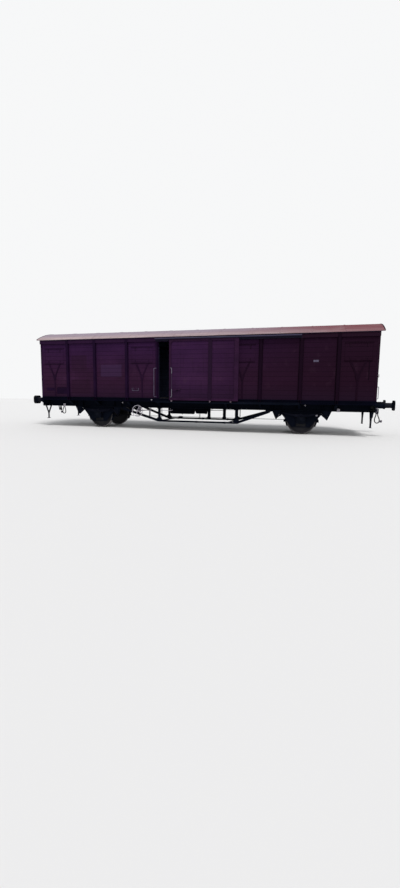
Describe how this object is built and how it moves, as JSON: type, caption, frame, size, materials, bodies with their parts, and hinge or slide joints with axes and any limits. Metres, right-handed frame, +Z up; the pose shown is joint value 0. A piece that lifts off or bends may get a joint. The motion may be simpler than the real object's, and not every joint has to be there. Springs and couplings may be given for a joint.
{
  "type": "two-axle covered goods wagon",
  "caption": "Covered railway goods wagon with planked sides, sliding side doors, ventilators, a barrel roof and a trussed underframe on single axles.",
  "frame": {"origin": "middle of the wagon, at the lowest point of the wheel flanges", "axes": "+X along the wagon, +Y across it away from side a, +Z up"},
  "size_m": [14.02, 3.0948, 3.8829],
  "materials": {
    "brown_planks": "worn matt purple-brown paint on boards",
    "brown_steel": "worn matt purple-brown paint",
    "roof_sheet": "faded dusty roof paint",
    "pale_track": "pale chalky paint, worn",
    "dark_steel": "black-brown underframe paint with dust",
    "deck_boards": "bare worn boards",
    "wheel_steel": "rusty forged steel, bright treads",
    "cast_parts": "dull cast surface with dirt",
    "spring_steel": "dull oiled steel with rust",
    "buffer_steel": "greasy dark steel",
    "pale_metal": "pale grey paint, worn",
    "hose_rubber": "weathered black rubber"
  },
  "bodies": {
    "wagon": {"axle_boxes": "cast_parts", "axle_guards": "dark_steel", "brake_beams": "dark_steel", "brake_pipe": "dark_steel", "brake_rods": "dark_steel", "brake_shoes": "cast_parts", "brake_vessels": "dark_steel", "buffer_heads": "buffer_steel", "buffer_housings": "dark_steel", "cantrails": "brown_steel", "corner_posts": "brown_steel", "corner_steps": "dark_steel", "cross_bearers": "dark_steel", "door_rails": "dark_steel", "door_tracks": "pale_track", "draw_hooks": "buffer_steel", "end_cocks": "dark_steel", "end_posts": "brown_steel", "end_walls": "brown_planks", "floor": "deck_boards", "floor_brackets": "dark_steel", "floor_stringers": "dark_steel", "gables": "brown_steel", "handrails": "pale_metal", "handwheel": "pale_metal", "handwheel_bracket": "pale_metal", "headstocks": "dark_steel", "hose_front": "hose_rubber", "hose_rear": "hose_rubber", "leaf_springs": "spring_steel", "roof": "roof_sheet", "roof_bows": "dark_steel", "screw_couplings": "buffer_steel", "side_posts": "brown_steel", "side_sills": "brown_steel", "side_walls": "brown_planks", "sole_bars": "dark_steel", "spring_hangers": "dark_steel", "spring_links": "spring_steel", "truss_stays": "dark_steel", "trusses": "dark_steel", "vents": "brown_planks", "vessel_hangers": "dark_steel", "wall_braces": "brown_steel"},
    "wheelset_front": {"wheelset_front": "wheel_steel"},
    "wheelset_rear": {"wheelset_rear": "wheel_steel"},
    "door_a": {"door_a_frame": "brown_steel", "door_a_handle": "pale_metal", "door_a_planks": "brown_planks", "door_a_rollers": "pale_metal"},
    "door_b": {"door_b_frame": "brown_steel", "door_b_handle": "pale_metal", "door_b_planks": "brown_planks", "door_b_rollers": "pale_metal"}
  },
  "joints": [
    {"name": "wheelset_front_turn", "type": "hinge", "parent": "wagon", "child": "wheelset_front", "pos_m": [4, 0, 0.528], "axis": [0, 1, 0], "continuous": true},
    {"name": "wheelset_rear_turn", "type": "hinge", "parent": "wagon", "child": "wheelset_rear", "pos_m": [-4, 0, 0.528], "axis": [0, 1, 0], "continuous": true},
    {"name": "door_a_slide", "type": "slide", "parent": "wagon", "child": "door_a", "axis": [1, 0, 0], "range_m": [-0.505, 2.095]},
    {"name": "door_b_slide", "type": "slide", "parent": "wagon", "child": "door_b", "axis": [-1, 0, 0], "range_m": [0, 2.6]}
  ]
}
